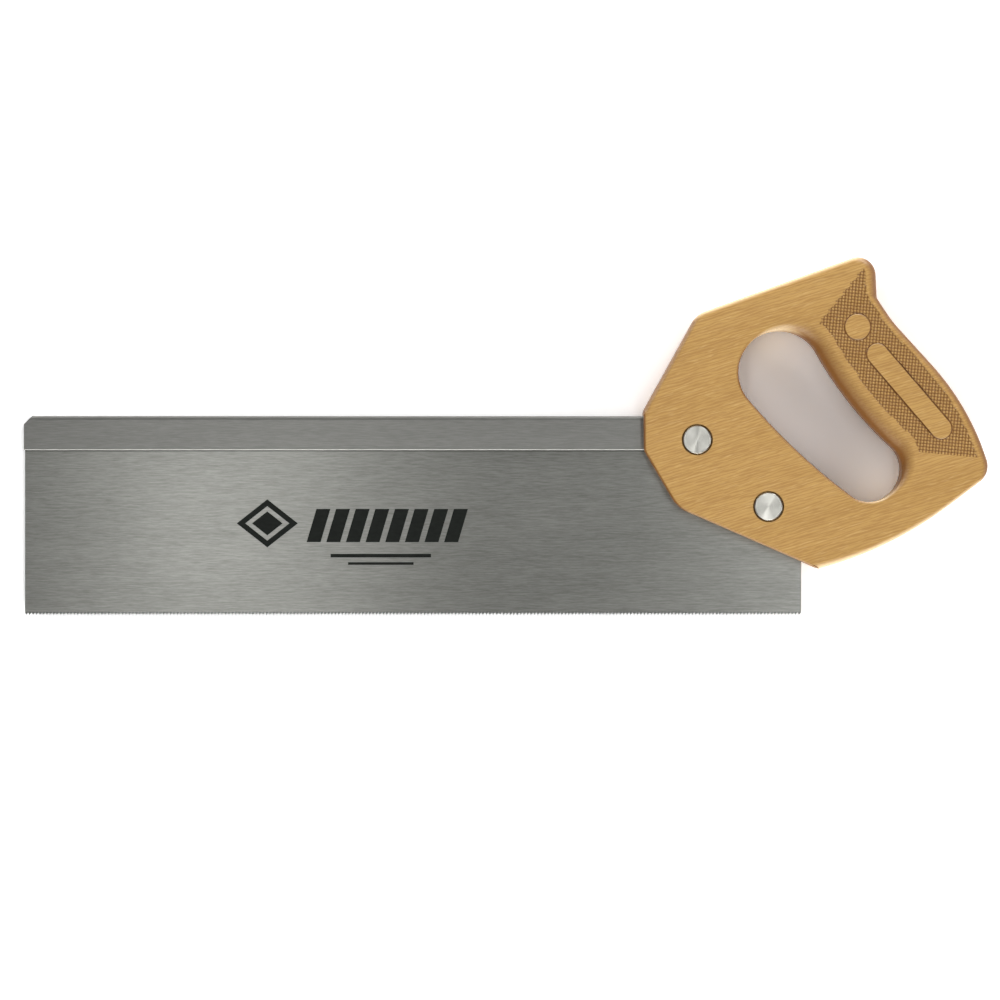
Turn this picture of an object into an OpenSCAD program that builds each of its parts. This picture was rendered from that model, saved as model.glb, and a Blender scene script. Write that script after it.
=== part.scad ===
// Mitre back saw lying on its right side: toe towards -X, handle towards +X, teeth towards -Y.
// The right face of the handle is on z = 0. Millimetres throughout.

/* [Blade] */
// Length of the toothed edge
blade_length = 355.6; // [300:0.1:450]
// Depth of blade below the steel back
blade_depth = 75.5; // [68:0.5:100]
// Thickness of the blade plate
blade_thickness = 0.86; // [0.6:0.01:1.2]
// Number of teeth along the edge
teeth_count = 226; // [120:1:300]
// Slope of each tooth's cutting face from upright
tooth_rake = 15; // [5:1:30]
// Slope of each tooth's back from upright
tooth_back_slope = 45; // [40:1:60]

/* [Back] */
// Height of the folded steel back
spine_height = 15.7; // [12:0.1:17]
// Thickness of the steel strip that is folded
spine_wall = 1.8; // [1.2:0.1:2.4]
// Length of the back that sits inside the handle
spine_tail = 17; // [10:0.5:18]
// Corner cut off the top of the back at the toe
spine_nose_cut = 3.8; // [1:0.1:6]
// Overhang of the back past the toe of the blade
spine_overhang = 0.4; // [0:0.1:2]

/* [Handle] */
// Thickness of the wooden handle
handle_thickness = 22; // [18:0.5:26]
// Largest roundover, on the grip side of the hand hole
grip_round = 9; // [6:0.5:12]
// Smallest roundover, on the front side of the hand hole
front_round = 1.5; // [0.5:0.5:4]
// Radius of the upper end of the hand hole
hole_top_radius = 19.2; // [17:0.1:21]
// Radius of the lower end of the hand hole
hole_bottom_radius = 14.7; // [12:0.1:16]

/* [Bolts] */
// Diameter of the bolt and nut heads
head_d = 12.8; // [10:0.1:13.5]
// Thickness of the heads
head_h = 2.4; // [1.6:0.1:3]
// Depth of the heads below the wood
head_recess = 0.3; // [0.2:0.1:0.6]
// Diameter of the counterbores around the heads
seat_d = 14.2; // [13.7:0.1:15]
// Side of the square neck under each bolt head
neck_side = 6.5; // [5.5:0.1:7]
// Length of the square neck
neck_h = 4; // [2:0.5:5]
// Diameter of the threaded shank
shank_d = 5; // [4:0.5:5]
// Outside diameter of the nut barrel
barrel_d = 8; // [7:0.5:9]
// Radial running clearance
clearance = 0.05; // [0.03:0.01:0.1]

/* [Hidden] */

// The design is drawn from the toe of the tooth line, then centred.
mid_z = handle_thickness / 2;
heel = [blade_length, blade_depth];
tooth_pitch = blade_length / teeth_count;
tooth_depth = tooth_pitch / (tan(tooth_rake) + tan(tooth_back_slope));
spine_thickness = blade_thickness + 2 * spine_wall;
spine_top_gap = 0.4;
blade_top = blade_depth + spine_height - spine_wall - spine_top_gap;
// The blade's top corner at the toe is cut off to stay inside the back's cut-off nose.
corner_margin = 0.5;
nose_line = blade_depth + spine_height - spine_nose_cut + spine_overhang;
blade_corner_cut = max(corner_margin, blade_top - nose_line + corner_margin);
past = 5;
round_steps = 64;
facet_angle = 7;
facet_error = 0.08;
shortest_facet = 0.5;
tightest_corner = 1;
arc_steps = 4;

// Handle outline, anticlockwise from the top of its front edge, measured from the heel end of
// the back's lower edge: x, y, corner radius, roundover of the edge that follows.
handle_corners = [
    [-72.4, 18.0, 4.5, 1.2],
    [-72.2, -0.1, 3, 1],
    [-56.9, -26.2, 16, 1],
    [7.3, -54.2, 1.5, 3.8],
    [40.4, -44.9, 168, 2.6],
    [86.2, -10.6, 9.2, 3.2],
    [75.7, 20.6, 118, 2.7],
    [40.9, 58.8, 55, 2.7],
    [34.1, 69.1, 3, 4.5],
    [33.0, 91.3, 8.3, 3],
    [-48.0, 62.0, 10.5, 2.4]
];
corner_count = len(handle_corners);
spine_front = -72.4;

// Hand hole: two round ends joined by a full grip-side curve and a flatter front curve.
hole_top = heel + [-10.1, 35.4];
hole_bottom = heel + [30.7, -9.1];
grip_curve_radius = 175;
front_curve_radius = 283;
grip_side_angle = 38;
grip_depth_share = 0.8;
blend_power = 1.5;

// Bolt positions and the blade's sloping rear edge, parallel to the line of the bolts.
upper_bolt_at = heel + [-48.1, 4.7];
lower_bolt_at = heel + [-15.6, -25.8];
bolt_line_angle = atan2(lower_bolt_at.y - upper_bolt_at.y, lower_bolt_at.x - upper_bolt_at.x);
rear_margin = 10;
kerf_gap = 0.4;
mortise_gap = 0.1;
seat_depth = head_h + head_recess;
show_seat_z = handle_thickness - seat_depth;
barrel_gap = 0.6;
barrel_top = mid_z - blade_thickness / 2 - barrel_gap;
shank_gap = 0.3;
shank_hole_d = shank_d + 2 * shank_gap;
shank_end = 2.8;
nut_bore_bottom = 2.3;
slot_width = 1.4;
slot_depth = 1.2;
rim_bevel = 0.4;

function unit(v) = v / norm(v);
function inward(a, b) = let (d = unit(b - a)) [-d.y, d.x];
function mix(a, b, t) = a + (b - a) * t;
function flat(lists) = [for (l = lists) each l];

// Where the line through p along u meets the line through q along v.
function crossing(p, u, q, v) =
    p + u * ((q.x - p.x) * v.y - (q.y - p.y) * v.x) / (u.x * v.y - u.y * v.x);

// Centre of a circle at distances r1 and r2 from p1 and p2, to the left of the way from p1 to p2.
function apex(p1, r1, p2, r2) =
    let (
        d = norm(p2 - p1),
        u = (p2 - p1) / d,
        along = (r1 * r1 - r2 * r2 + d * d) / (2 * d)
    )
    p1 + u * along + [-u.y, u.x] * sqrt(r1 * r1 - along * along);

// ---- Handle outline, drawn inwards by a share of each edge's roundover ----

function corner(i) = let (c = handle_corners[(i + corner_count) % corner_count]) heel + [c.x, c.y];
function radius_at(i) = handle_corners[i][2];
function round_after(i) = handle_corners[(i + corner_count) % corner_count][3];

function moved_corner(i, share) =
    let (
        a = corner(i - 1),
        b = corner(i),
        c = corner(i + 1),
        in1 = inward(a, b) * round_after(i - 1) * share,
        in2 = inward(b, c) * round_after(i) * share
    )
    crossing(b + in1, unit(b - a), b + in2, unit(c - b));

// Angle by which the outline turns left at corner i.
function turn_at(i) =
    let (
        u = unit(corner(i) - corner(i - 1)),
        v = unit(corner(i + 1) - corner(i))
    )
    atan2(u.x * v.y - u.y * v.x, u * v);

// Angle of one facet of an arc: smaller on a large radius, so that no facet is far off the arc.
function facet_turn(r) = min(facet_angle, 2 * acos(1 - facet_error / r));

// A small corner takes fewer, longer facets.
function corner_steps(i) =
    let (
        turn = abs(turn_at(i)),
        arc_length = radius_at(i) * turn * PI / 180
    )
    max(2, min(ceil(turn / facet_turn(radius_at(i))), floor(arc_length / shortest_facet)));

function corner_arc(i, share) =
    let (
        at = moved_corner(i, share),
        u = unit(corner(i) - corner(i - 1)),
        turn = turn_at(i),
        side = sign(turn),
        inset = share * (round_after(i - 1) + round_after(i)) / 2,
        r = max(radius_at(i) - side * inset, tightest_corner),
        start = at - u * r * tan(abs(turn) / 2),
        centre = start + [-u.y, u.x] * side * r,
        a0 = atan2(start.y - centre.y, start.x - centre.x),
        n = corner_steps(i)
    )
    [for (k = [0 : n]) let (a = a0 + turn * k / n) centre + r * [cos(a), sin(a)]];

function outline(share) = flat([for (i = [0 : corner_count - 1]) corner_arc(i, share)]);

function outline_rounds() = flat([
    for (i = [0 : corner_count - 1])
        let (n = corner_steps(i))
        [for (k = [0 : n]) mix(round_after(i - 1), round_after(i), k / n)]
]);

// ---- Hand hole, drawn outwards by a share of its roundover ----

grip_centre = apex(hole_top, grip_curve_radius + hole_top_radius,
                   hole_bottom, grip_curve_radius + hole_bottom_radius);
front_centre = apex(hole_top, front_curve_radius - hole_top_radius,
                    hole_bottom, front_curve_radius - hole_bottom_radius);

// Angle of v, not less than low.
function angle_from(v, low) = let (a = atan2(v.y, v.x)) a < low ? a + 360 : a;

// Both curves have their centres past the grip: centre, radius, first and last angle, and
// whether the arc bends around the hole (1) or into it (-1).
function hole_arcs() =
    let (
        top_grip = angle_from(grip_centre - hole_top, 0),
        top_front = angle_from(hole_top - front_centre, 0),
        low_front = angle_from(hole_bottom - front_centre, 0),
        low_grip = angle_from(grip_centre - hole_bottom, 0) + 360
    )
    [
        [hole_top, hole_top_radius, top_grip, top_front, 1],
        [front_centre, front_curve_radius, top_front, low_front, 1],
        [hole_bottom, hole_bottom_radius, low_front, low_grip, 1],
        [grip_centre, grip_curve_radius, low_grip - 180, top_grip + 180, -1]
    ];

function hole_round(a) =
    front_round + (grip_round - front_round) * pow(max(0, cos(a - grip_side_angle)), blend_power);

// Each point of the hole: x, y and the outward angle there.
function hole_points() = flat([
    for (h = hole_arcs())
        let (n = ceil(abs(h[3] - h[2]) / facet_turn(h[1])))
        [for (k = [0 : n - 1])
            let (a = mix(h[2], h[3], k / n))
            [h[0].x + h[1] * cos(a), h[0].y + h[1] * sin(a), h[4] > 0 ? a : a + 180]]
]);

function hole_ring(share) =
    [for (p = hole_points()) [p.x, p.y] + hole_round(p.z) * share * [cos(p.z), sin(p.z)]];

function hole_rounds() = [for (p = hole_points()) grip_depth_share * hole_round(p.z)];

// ---- Solids ----

// A closed wall through rings of equal length, given from the lowest ring to the highest.
module loft(rings) {
    n = len(rings[0]);
    last = len(rings) - 1;
    sides = [
        for (r = [0 : last - 1])
            for (i = [0 : n - 1])
                let (a = r * n + i, b = r * n + (i + 1) % n)
                each [[a, b + n, b], [a, a + n, b + n]]
    ];
    lower = [for (i = [0 : n - 1]) i];
    upper = [for (i = [n - 1 : -1 : 0]) last * n + i];
    polyhedron(points = flat(rings), faces = concat([lower], [upper], sides));
}

function lifted(points, heights) =
    [for (i = [0 : len(points) - 1]) [points[i].x, points[i].y, heights[i]]];

module rounded_blank() {
    rounds = outline_rounds();
    top = handle_thickness;
    lower_rings = [
        for (k = [arc_steps : -1 : 0])
            let (a = 90 * k / arc_steps)
            lifted(outline(1 - cos(a)), [for (r = rounds) r * (1 - sin(a))])
    ];
    upper_rings = [
        for (k = [0 : arc_steps])
            let (a = 90 * k / arc_steps)
            lifted(outline(1 - cos(a)), [for (r = rounds) top - r * (1 - sin(a))])
    ];
    loft(concat(lower_rings, upper_rings));
}

module flared_hole() {
    rounds = hole_rounds();
    top = handle_thickness;
    lower_rings = [
        for (k = [arc_steps : -1 : 0])
            let (a = 90 * k / arc_steps)
            lifted(hole_ring(1 - cos(a)), [for (r = rounds) r * (1 - sin(a))])
    ];
    upper_rings = [
        for (k = [0 : arc_steps])
            let (a = 90 * k / arc_steps)
            lifted(hole_ring(1 - cos(a)), [for (r = rounds) top - r * (1 - sin(a))])
    ];
    brim = hole_ring(1);
    level = [for (p = brim) 1];
    loft(concat(
        [lifted(brim, level * -past)],
        lower_rings,
        upper_rings,
        [lifted(brim, level * (top + past))]
    ));
}

// Point on the blade's rear slope, moved back by gap, at height y.
function rear_slope(y, gap) =
    let (
        d = [cos(bolt_line_angle), sin(bolt_line_angle)],
        q = upper_bolt_at + (rear_margin + gap) * [-d.y, d.x]
    )
    crossing(q, d, [0, y], [1, 0]);

module kerf_outline() {
    low = -past;
    front = heel.x + spine_front - past;
    high = blade_top + kerf_gap;
    polygon([[front, low], rear_slope(low, kerf_gap), rear_slope(high, kerf_gap), [front, high]]);
}

module handle() {
    color("burlywood")
    difference() {
        resize([0, 0, handle_thickness])
        difference() {
            rounded_blank();
            flared_hole();
        }
        translate([0, 0, mid_z - blade_thickness / 2])
        linear_extrude(blade_thickness) kerf_outline();
        spine_mortise();
        bolt_passage(upper_bolt_at);
        bolt_passage(lower_bolt_at);
    }
}

module spine_mortise() {
    reach = heel.x + spine_front + spine_tail + mortise_gap;
    half = spine_thickness / 2 + mortise_gap;
    translate([heel.x + spine_front - past, blade_depth - mortise_gap, mid_z - half])
    cube([reach - heel.x - spine_front + past, spine_height + 2 * mortise_gap, 2 * half]);
}

// Seats for both heads, the barrel's bore, the shank's hole and the square for the neck.
module bolt_passage(at) {
    neck_hole = neck_side + 2 * clearance;
    neck_z = show_seat_z - neck_h - clearance;
    translate([at.x, at.y, 0]) {
        translate([0, 0, show_seat_z]) cylinder(d = seat_d, h = seat_depth + past, $fn = round_steps);
        translate([0, 0, -past]) cylinder(d = seat_d, h = seat_depth + past, $fn = round_steps);
        cylinder(d = barrel_d + 2 * clearance, h = barrel_top + clearance, $fn = round_steps);
        cylinder(d = shank_hole_d, h = show_seat_z, $fn = round_steps);
        translate([-neck_hole / 2, -neck_hole / 2, neck_z])
        cube([neck_hole, neck_hole, show_seat_z - neck_z + clearance]);
    }
}

module blade() {
    teeth = [
        for (i = [0 : teeth_count - 1])
            each [
                [i * tooth_pitch, tooth_depth],
                [i * tooth_pitch + tooth_depth * tan(tooth_rake), 0]
            ]
    ];
    slope_start = rear_slope(blade_top, 0);
    slope_end = crossing(slope_start, rear_slope(0, 0) - slope_start, [blade_length, 0], [0, 1]);
    color("silver")
    difference() {
        translate([0, 0, mid_z - blade_thickness / 2])
        linear_extrude(blade_thickness)
        polygon(concat(
            teeth,
            [[blade_length, tooth_depth], slope_end, slope_start],
            [[blade_corner_cut, blade_top], [0, blade_top - blade_corner_cut]]
        ));
        for (at = [upper_bolt_at, lower_bolt_at])
            translate([at.x, at.y, 0]) cylinder(d = shank_hole_d, h = handle_thickness, $fn = round_steps);
    }
}

// The steel back: a strip folded over the blade's upper edge, round along the fold.
module spine() {
    fold_r = spine_thickness / 2;
    edge_bevel = 0.3;
    length = heel.x + spine_front + spine_tail + spine_overhang;
    color("gray")
    translate([-spine_overhang, blade_depth, mid_z])
    difference() {
        rotate([90, 0, 90])
        linear_extrude(length)
        difference() {
            union() {
                translate([spine_height - fold_r, 0]) circle(r = fold_r, $fn = round_steps);
                polygon([
                    [0, -fold_r + edge_bevel],
                    [edge_bevel, -fold_r],
                    [spine_height - fold_r, -fold_r],
                    [spine_height - fold_r, fold_r],
                    [edge_bevel, fold_r],
                    [0, fold_r - edge_bevel]
                ]);
            }
            translate([-past, -blade_thickness / 2])
            square([past + spine_height - spine_wall, blade_thickness]);
        }
        translate([0, spine_height - spine_nose_cut, 0])
        rotate(45)
        translate([-2 * spine_nose_cut, 0, -fold_r - past])
        cube([6 * spine_nose_cut, 2 * spine_nose_cut, spine_thickness + 2 * past]);
    }
}

module head(h) {
    cylinder(d = head_d, h = h - rim_bevel, $fn = round_steps);
    translate([0, 0, h - rim_bevel])
    cylinder(d1 = head_d, d2 = head_d - 2 * rim_bevel, h = rim_bevel, $fn = round_steps);
}

// Bolt with a plain turned head and a square neck that keeps it from turning in the wood.
module bolt(at) {
    neck_z = show_seat_z - neck_h;
    color("lightgray")
    translate([at.x, at.y, 0]) {
        translate([0, 0, show_seat_z]) head(head_h);
        translate([-neck_side / 2, -neck_side / 2, neck_z]) cube([neck_side, neck_side, neck_h]);
        translate([0, 0, shank_end]) cylinder(d = shank_d, h = neck_z - shank_end, $fn = round_steps);
    }
}

// Slotted barrel nut on the right side of the handle.
module nut(at) {
    color("lightgray")
    translate([at.x, at.y, 0])
    difference() {
        union() {
            translate([0, 0, seat_depth]) mirror([0, 0, 1]) head(head_h);
            translate([0, 0, seat_depth]) cylinder(d = barrel_d, h = barrel_top - seat_depth, $fn = round_steps);
        }
        translate([0, 0, nut_bore_bottom])
        cylinder(d = shank_d + 2 * clearance, h = barrel_top, $fn = round_steps);
        rotate(45)
        translate([-head_d, -slot_width / 2, head_recess - past])
        cube([2 * head_d, slot_width, slot_depth + past]);
    }
}

reach_x = max([for (p = outline(0)) p.x]);
reach_y = max([for (p = outline(0)) p.y]);
centre_x = (reach_x - spine_overhang) / 2;
centre_y = reach_y / 2;

module placed() {
    translate([-centre_x, -centre_y, 0]) children();
}

placed() blade();
placed() spine();
placed() handle();
placed() bolt(upper_bolt_at);  // upper_bolt
placed() bolt(lower_bolt_at);  // lower_bolt
placed() nut(upper_bolt_at);  // upper_nut
placed() nut(lower_bolt_at);  // lower_nut
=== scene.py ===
"""Looks of the mitre back saw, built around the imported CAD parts.

Lengths inside the shape functions are millimetres in the saw's own drawing frame, whose origin is
the toe of the tooth line. at() turns them into metres in the row frame.
"""

import math

import bmesh
import bpy
import numpy as np
from mathutils import Matrix, Vector, geometry


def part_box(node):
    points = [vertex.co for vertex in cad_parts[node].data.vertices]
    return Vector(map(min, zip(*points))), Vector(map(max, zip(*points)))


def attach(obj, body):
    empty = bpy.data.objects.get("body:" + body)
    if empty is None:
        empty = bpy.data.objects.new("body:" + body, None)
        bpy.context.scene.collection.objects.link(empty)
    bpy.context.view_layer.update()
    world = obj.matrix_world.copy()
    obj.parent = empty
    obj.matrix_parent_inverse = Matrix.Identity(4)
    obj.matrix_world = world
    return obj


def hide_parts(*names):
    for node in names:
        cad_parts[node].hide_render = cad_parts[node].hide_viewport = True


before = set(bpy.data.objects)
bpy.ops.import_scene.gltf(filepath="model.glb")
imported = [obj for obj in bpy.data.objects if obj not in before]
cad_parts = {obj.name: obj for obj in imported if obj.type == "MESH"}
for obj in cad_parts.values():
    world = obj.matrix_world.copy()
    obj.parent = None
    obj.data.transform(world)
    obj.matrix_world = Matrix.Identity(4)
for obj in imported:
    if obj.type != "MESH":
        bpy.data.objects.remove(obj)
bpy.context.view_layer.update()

MM = 0.001
TOE, blade_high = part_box("blade")
spine_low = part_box("spine")[0]
handle_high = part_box("handle")[1]
HEEL = np.array([(blade_high.x - TOE.x) / MM, (spine_low.y - TOE.y) / MM])
TOP = handle_high.z / MM
MID = TOP / 2


def at(x, y, z=0.0):
    """A point of the drawing frame in metres, in the row frame."""
    return Vector((TOE.x + x * MM, TOE.y + y * MM, z * MM))


def centre_of(node):
    """The middle of a CAD node in the drawing frame, in millimetres."""
    low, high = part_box(node)
    middle = (low + high) / 2
    return np.array([(middle.x - TOE.x) / MM, (middle.y - TOE.y) / MM])


UPPER_BOLT = centre_of("upper_bolt")
LOWER_BOLT = centre_of("lower_bolt")


# ---- Mesh helpers ----

# Lengths in metres: how near two heights count as one, and how near two points are merged.
SAME = 1e-6
MERGE_CAP = 2e-6


def mesh_object(name, points, faces, smooth_below=None):
    """A mesh from points in millimetres; edges sharper than smooth_below degrees stay crisp."""
    mesh = bpy.data.meshes.new(name)
    mesh.from_pydata([at(*p) for p in points], [], faces)
    mesh.validate()
    obj = bpy.data.objects.new(name, mesh)
    bpy.context.scene.collection.objects.link(obj)
    if smooth_below is not None:
        soften(obj, smooth_below)
    return obj


def soften(obj, limit):
    """Smooth shading, apart from edges that turn by more than limit degrees."""
    work = bmesh.new()
    work.from_mesh(obj.data)
    for face in work.faces:
        face.smooth = True
    for edge in work.edges:
        turn = edge.calc_face_angle(0.0) if len(edge.link_faces) == 2 else math.pi
        edge.smooth = turn < math.radians(limit)
    work.to_mesh(obj.data)
    work.free()


def close_mesh(obj, merge=None):
    """Merges points nearer than merge, if it is given, and turns every face outwards."""
    work = bmesh.new()
    work.from_mesh(obj.data)
    if merge is not None:
        bmesh.ops.remove_doubles(work, verts=work.verts, dist=merge)
    bmesh.ops.recalc_face_normals(work, faces=work.faces)
    work.to_mesh(obj.data)
    work.free()


def apply_all(obj):
    """Applies the object's modifiers to its mesh."""
    bpy.context.view_layer.update()
    ready = obj.evaluated_get(bpy.context.evaluated_depsgraph_get())
    mesh = bpy.data.meshes.new_from_object(ready)
    obj.modifiers.clear()
    obj.data = mesh


def cut(obj, cutter):
    """Takes the cutter away from obj, then removes the cutter."""
    step = obj.modifiers.new("cut", "BOOLEAN")
    step.operation = "DIFFERENCE"
    step.solver = "EXACT"
    step.object = cutter
    apply_all(obj)
    bpy.data.objects.remove(cutter)


def prism_parts(corners, low, high):
    """Points and faces of a straight prism over a polygon, corners anticlockwise."""
    n = len(corners)
    points = [(x, y, low) for x, y in corners] + [(x, y, high) for x, y in corners]
    faces = [list(range(n))[::-1], list(range(n, 2 * n))]
    faces += [[i, (i + 1) % n, n + (i + 1) % n, n + i] for i in range(n)]
    return points, faces


def prism(corners, low, high):
    """A cutter in the shape of a straight prism."""
    return mesh_object("cutter", *prism_parts(corners, low, high))


def circle(centre, radius, steps=72):
    """Points round a circle."""
    angles = [2 * math.pi * i / steps for i in range(steps)]
    return [(centre[0] + radius * math.cos(a), centre[1] + radius * math.sin(a)) for a in angles]


def box_corners(x0, y0, x1, y1):
    """Corners of an upright rectangle, anticlockwise."""
    return [(x0, y0), (x1, y0), (x1, y1), (x0, y1)]


# ---- Handle outline and hand hole, as in the CAD source but with finer steps ----

# Corners from the top of the front edge, measured from the heel end of the back's lower edge:
# x, y, corner radius, roundover of the edge that follows.
HANDLE_CORNERS = [
    (-72.4, 18.0, 4.5, 1.2),
    (-72.2, -0.1, 3, 1),
    (-56.9, -26.2, 16, 1),
    (7.3, -54.2, 1.5, 3.8),
    (40.4, -44.9, 168, 2.6),
    (86.2, -10.6, 9.2, 3.2),
    (75.7, 20.6, 118, 2.7),
    (40.9, 58.8, 55, 2.7),
    (34.1, 69.1, 3, 4.5),
    (33.0, 91.3, 8.3, 3),
    (-48.0, 62.0, 10.5, 2.4),
]
CORNERS = len(HANDLE_CORNERS)
HOLE_TOP = HEEL + (-10.1, 35.4)
HOLE_BOTTOM = HEEL + (30.7, -9.1)
HOLE_TOP_RADIUS = 19.2
HOLE_BOTTOM_RADIUS = 14.7
GRIP_CURVE_RADIUS = 175
FRONT_CURVE_RADIUS = 283
GRIP_SIDE_ANGLE = 38
GRIP_ROUND = 9
FRONT_ROUND = 1.5
GRIP_DEPTH_SHARE = 0.8
BLEND_POWER = 1.5
ARC_STEPS = 9
FINE_TURN = 4.0
FINE_ERROR = 0.012


def unit(v):
    return v / np.linalg.norm(v)


def cross(u, v):
    return u[0] * v[1] - u[1] * v[0]


def left_of(v):
    return np.array([-v[1], v[0]])


def polar(angle):
    return np.array([math.cos(math.radians(angle)), math.sin(math.radians(angle))])


def crossing(p, u, q, v):
    """Where the line through p along u meets the line through q along v."""
    return p + u * (cross(q - p, v) / cross(u, v))


def apex(p1, r1, p2, r2):
    """Centre of a circle at distances r1 and r2 from p1 and p2, left of the way between them."""
    d = np.linalg.norm(p2 - p1)
    u = (p2 - p1) / d
    along = (r1 * r1 - r2 * r2 + d * d) / (2 * d)
    return p1 + u * along + left_of(u) * math.sqrt(r1 * r1 - along * along)


def corner(i):
    return HEEL + HANDLE_CORNERS[i % CORNERS][:2]


def round_after(i):
    return HANDLE_CORNERS[i % CORNERS][3]


def fine_turn(radius):
    """Angle of one facet of an arc, in degrees."""
    return min(FINE_TURN, 2 * math.degrees(math.acos(1 - FINE_ERROR / radius)))


def corner_arc(i, share):
    """Points round corner i of the outline, and the roundover at each."""
    a, b, c = corner(i - 1), corner(i), corner(i + 1)
    u, v = unit(b - a), unit(c - b)
    before, after = round_after(i - 1), round_after(i)
    apex_at = crossing(b + left_of(u) * before * share, u, b + left_of(v) * after * share, v)
    turn = math.degrees(math.atan2(cross(u, v), u @ v))
    side = math.copysign(1, turn)
    radius = HANDLE_CORNERS[i % CORNERS][2]
    inner = max(radius - side * share * (before + after) / 2, 1)
    start = apex_at - u * inner * math.tan(math.radians(abs(turn) / 2))
    centre = start + left_of(u) * side * inner
    first = math.degrees(math.atan2(*(start - centre)[::-1]))
    steps = max(3, math.ceil(abs(turn) / fine_turn(radius)))
    return [
        (centre + inner * polar(first + turn * k / steps), before + (after - before) * k / steps)
        for k in range(steps + 1)
    ]


def outline(share):
    """The handle's outline, moved inwards by a share of each edge's roundover."""
    return [p for i in range(CORNERS) for p in corner_arc(i, share)]


def angle_from(v, low):
    a = math.degrees(math.atan2(v[1], v[0]))
    return a + 360 if a < low else a


def hole_arcs():
    """Centre, radius, first and last angle, and whether the arc bends round the hole."""
    grip = apex(HOLE_TOP, GRIP_CURVE_RADIUS + HOLE_TOP_RADIUS,
                HOLE_BOTTOM, GRIP_CURVE_RADIUS + HOLE_BOTTOM_RADIUS)
    front = apex(HOLE_TOP, FRONT_CURVE_RADIUS - HOLE_TOP_RADIUS,
                 HOLE_BOTTOM, FRONT_CURVE_RADIUS - HOLE_BOTTOM_RADIUS)
    top_grip = angle_from(grip - HOLE_TOP, 0)
    top_front = angle_from(HOLE_TOP - front, 0)
    low_front = angle_from(HOLE_BOTTOM - front, 0)
    low_grip = angle_from(grip - HOLE_BOTTOM, 0) + 360
    return [
        (HOLE_TOP, HOLE_TOP_RADIUS, top_grip, top_front, True),
        (front, FRONT_CURVE_RADIUS, top_front, low_front, True),
        (HOLE_BOTTOM, HOLE_BOTTOM_RADIUS, low_front, low_grip, True),
        (grip, GRIP_CURVE_RADIUS, low_grip - 180, top_grip + 180, False),
    ]


def hole_round(angle):
    """Roundover of the hand hole where its wall faces away from angle: full on the grip side."""
    facing = max(0.0, math.cos(math.radians(angle - GRIP_SIDE_ANGLE)))
    return FRONT_ROUND + (GRIP_ROUND - FRONT_ROUND) * facing**BLEND_POWER


def hole(share):
    """The hand hole's outline, moved outwards by a share of its roundover."""
    found = []
    for centre, radius, first, last, round_it in hole_arcs():
        steps = math.ceil(abs(last - first) / fine_turn(radius))
        for k in range(steps):
            a = first + (last - first) * k / steps
            out = a if round_it else a + 180
            reach = hole_round(out)
            point = centre + radius * polar(a) + reach * share * polar(out)
            found.append((point, GRIP_DEPTH_SHARE * reach))
    return found


def rounded_rings(ring_at):
    """Rings of points from the lower face to the upper one, with a quarter round at each end."""
    rings = []
    for k in range(ARC_STEPS, -1, -1):
        a = math.pi / 2 * k / ARC_STEPS
        rings.append([(*p, r * (1 - math.sin(a))) for p, r in ring_at(1 - math.cos(a))])
    for k in range(ARC_STEPS + 1):
        a = math.pi / 2 * k / ARC_STEPS
        rings.append([(*p, TOP - r * (1 - math.sin(a))) for p, r in ring_at(1 - math.cos(a))])
    return rings


def wall(rings, first, inside_out=False):
    """Points and faces of a closed wall through rings, numbered from first."""
    n = len(rings[0])
    faces = []
    for r in range(len(rings) - 1):
        for i in range(n):
            a, b = first + r * n + i, first + r * n + (i + 1) % n
            quad = [a, b, b + n, a + n]
            faces.append(quad[::-1] if inside_out else quad)
    return [p for ring in rings for p in ring], faces


def inside(points, loops):
    """Which points lie inside an even-odd region bounded by loops."""
    x, y = np.array(points)[:, 0], np.array(points)[:, 1]
    odd = np.zeros(len(x), bool)
    for loop in loops:
        ring = np.array(loop)[:, :2]
        for (x0, y0), (x1, y1) in zip(ring, np.roll(ring, -1, 0)):
            if y0 == y1:
                continue
            between = (y0 > y) != (y1 > y)
            odd ^= between & (x < (x1 - x0) * (y - y0) / (y1 - y0) + x0)
    return odd


def cap(loops, extra=(), edges=()):
    """Triangles over the region between loops, through the extra points too.

    Returns the points, the triangles, and for each point its number among the extra ones or -1.
    """
    points, rims = [], []
    for loop in loops:
        first, n = len(points), len(loop)
        points += [Vector(p[:2]) for p in loop]
        rims += [(first + i, first + (i + 1) % n) for i in range(n)]
    start = len(points)
    points += [Vector(p) for p in extra]
    rims += [(start + a, start + b) for a, b in edges]
    made = geometry.delaunay_2d_cdt(points, rims, [], 0, 1e-6)
    spots, triangles, origins = made[0], made[2], made[3]
    corners = np.array([tuple(p) for p in spots])
    middles = corners[np.array(triangles)].mean(1)
    keep = inside(middles, loops)
    extra_index = [next((o - start for o in src if o >= start), -1) for src in origins]
    return corners, [list(t) for t, k in zip(triangles, keep) if k], extra_index


# ---- Checkering on the grip ----

CHECK_PITCH = 1.445
CHECK_ANGLE = -5.5
CHECK_PARTS = 4
CHECK_DEPTH = 0.34
CHECK_U = polar(CHECK_ANGLE)
CHECK_V = left_of(CHECK_U)
CHECK_START = HEEL + (28, -6)
# Cut-off lines of the checkered field: it lies to the right of the way along each.
UPPER_CUT = (np.array([364.3, 136.1]), np.array([382.6, 158.1]))
LOWER_CUT = (np.array([437.6, 71.3]), np.array([409.6, 74.7]))
# Plain raised shapes inside the field: both ends of the centre line, and the radius.
BLANKS = [
    (np.array([389.6, 119.2]), np.array([418.6, 85.4]), 4.6),
    (np.array([380.6, 131.6]), np.array([380.6, 131.6]), 5.6),
]
KNOB_PROFILE = [0.0, 0.72, 1.0, 0.72]
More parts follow.
